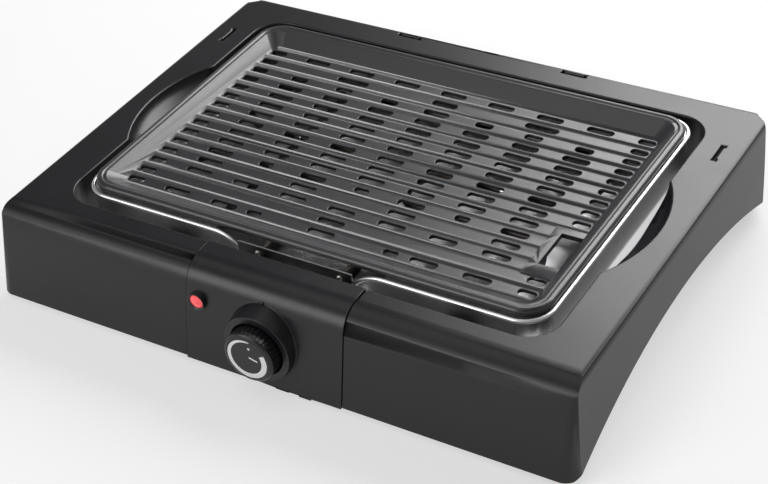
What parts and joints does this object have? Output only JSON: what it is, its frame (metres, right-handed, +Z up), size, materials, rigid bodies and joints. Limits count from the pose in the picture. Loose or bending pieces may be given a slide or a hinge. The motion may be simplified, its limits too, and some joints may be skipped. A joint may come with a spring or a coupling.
{
  "type": "electric table grill",
  "caption": "Low electric table grill with a slotted ridged plate over a tubular element, a drip tray and a front control unit with a knob.",
  "frame": {"origin": "middle of the bounding box, on the surface the feet stand on", "axes": "+Z up, -Y towards the control knob at the front, +X to the right of a user in front"},
  "size_m": [0.4828, 0.3686, 0.0828],
  "materials": {
    "housing_black": "satin black moulded plastic with a fine grain",
    "control_black": "satin black moulded plastic",
    "inner_black": "plain black moulded plastic",
    "plate_coating": "cast plate with a dark grey non-stick coating, satin",
    "tray_steel": "bright drawn sheet with a rolled rim",
    "element_sheath": "dark annealed steel sheath of the heating rod",
    "seal_ceramic": "cream ceramic seal",
    "pin_steel": "plain steel pin",
    "bracket_steel": "bright plated sheet steel",
    "screw_steel": "zinc plated steel",
    "foot_rubber": "soft black rubber",
    "knob_black": "satin black knob",
    "print_white": "white pad print",
    "lens_red": "translucent red lens",
    "lamp_glass": "small neon lamp",
    "thermostat_steel": "pressed steel case",
    "switch_plastic": "light grey switch case",
    "terminal_plastic": "natural coloured terminal block",
    "brass_parts": "plain brass",
    "wire_brown": "brown insulation",
    "wire_blue": "blue insulation",
    "wire_red": "red insulation"
  },
  "bodies": {
    "housing": {"housing": "housing_black", "foot_front_left": "foot_rubber", "foot_front_right": "foot_rubber", "foot_rear_left": "foot_rubber", "foot_rear_right": "foot_rubber", "foot_screws": "screw_steel"},
    "tray": {"drip_tray": "tray_steel"},
    "heater_unit": {"control_cover": "control_black", "control_back_cover": "inner_black", "cover_screws": "screw_steel", "heater_bracket": "bracket_steel", "bracket_rivets": "screw_steel", "bracket_screws": "screw_steel", "element_rail": "bracket_steel", "element_supports": "bracket_steel", "element_clips": "bracket_steel", "heating_element": "element_sheath", "element_seals": "seal_ceramic", "element_pins": "pin_steel", "thermostat_body": "thermostat_steel", "thermostat_bracket": "bracket_steel", "thermostat_screws": "screw_steel", "pilot_bezel": "inner_black", "pilot_lens": "lens_red", "pilot_lamp": "lamp_glass", "pilot_clip": "bracket_steel", "safety_switch": "switch_plastic", "terminal_block": "terminal_plastic", "terminal_screws": "screw_steel", "thermal_fuse": "brass_parts", "cord_gland": "inner_black", "earth_tag": "brass_parts", "wire_live": "wire_brown", "wire_neutral": "wire_blue", "wire_link": "wire_red"},
    "plate": {"grill_plate": "plate_coating"},
    "control_knob": {"knob": "knob_black", "knob_scale": "print_white", "thermostat_spindle": "pin_steel"},
    "plunger": {"switch_plunger": "switch_plastic"}
  },
  "joints": [
    {"name": "tray_lift", "type": "slide", "parent": "housing", "child": "tray", "axis": [0, 0, 1], "range_m": [0, 0.06]},
    {"name": "heater_lift", "type": "slide", "parent": "tray", "child": "heater_unit", "axis": [0, 0, 1], "range_m": [0, 0.06]},
    {"name": "plate_lift", "type": "slide", "parent": "heater_unit", "child": "plate", "axis": [0, 0, 1], "range_m": [0, 0.05]},
    {"name": "knob_turn", "type": "hinge", "parent": "heater_unit", "child": "control_knob", "pos_m": [0, -0.17135, 0.0346], "axis": [0, 1, 0], "range_deg": [0, 270]},
    {"name": "plunger_press", "type": "slide", "parent": "heater_unit", "child": "plunger", "axis": [-1, 0, 0], "range_m": [0, 0.001], "stiffness_N_per_m": 150, "springref_m": -0.002}
  ]
}
